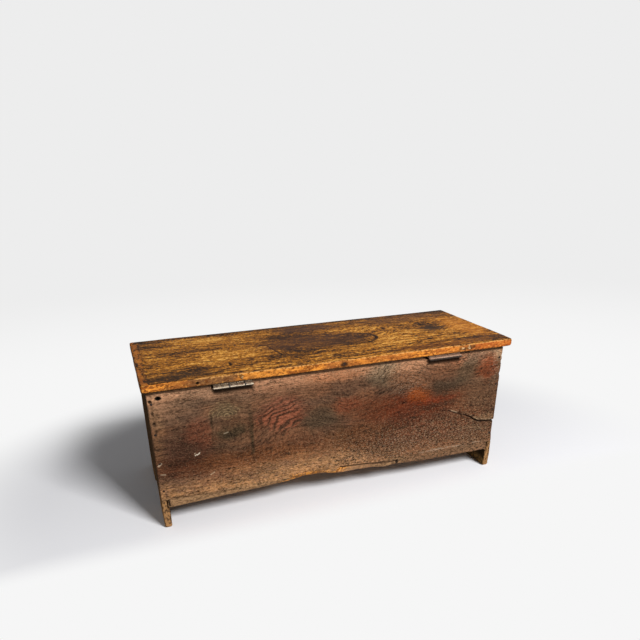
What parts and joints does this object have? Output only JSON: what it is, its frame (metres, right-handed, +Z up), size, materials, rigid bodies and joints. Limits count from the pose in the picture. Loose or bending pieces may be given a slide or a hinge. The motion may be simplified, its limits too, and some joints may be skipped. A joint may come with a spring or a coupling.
{
  "type": "coffer chest",
  "caption": "Boarded oak coffer: a planked box on slab ends cut into feet, with a plank lid that swings up on iron butt hinges at the back.",
  "frame": {"origin": "on the floor, under the middle of the whole chest with its hinge barrels", "axes": "+Z up, front towards -Y, hinges at the back towards +Y, +X to the right as seen from the front"},
  "size_m": [1.08, 0.4152, 0.42],
  "materials": {
    "lid_oak": "waxed and polished, worn golden brown oak",
    "back_oak": "dry, unpolished, dirty red-brown oak",
    "front_oak": "waxed dark brown oak",
    "end_oak": "dry brown oak, worn pale at the feet",
    "bottom_oak": "raw sawn oak",
    "hinge_iron": "worn grey-brown iron",
    "screw_steel": "dull steel",
    "nail_iron": "black rusted iron"
  },
  "bodies": {
    "carcass": {"front_board": "front_oak", "back_board": "back_oak", "end_board_left": "end_oak", "end_board_right": "end_oak", "bottom_board": "bottom_oak", "hinge_left_fixed_leaf": "hinge_iron", "hinge_left_pin": "hinge_iron", "hinge_left_fixed_screws": "screw_steel", "hinge_right_fixed_leaf": "hinge_iron", "hinge_right_pin": "hinge_iron", "hinge_right_fixed_screws": "screw_steel", "front_nails_left": "nail_iron", "front_nails_right": "nail_iron", "back_nails_left": "nail_iron", "back_nails_right": "nail_iron", "bottom_nails_left": "nail_iron", "bottom_nails_right": "nail_iron"},
    "lid": {"lid_board": "lid_oak", "hinge_left_lid_leaf": "hinge_iron", "hinge_right_lid_leaf": "hinge_iron", "hinge_left_lid_screws": "screw_steel", "hinge_right_lid_screws": "screw_steel", "lid_edge_nail": "nail_iron"}
  },
  "joints": [
    {"name": "lid_hinge", "type": "hinge", "parent": "carcass", "child": "lid", "pos_m": [0, 0.20287, 0.39], "axis": [-1, 0, 0], "range_deg": [0, 105]}
  ]
}
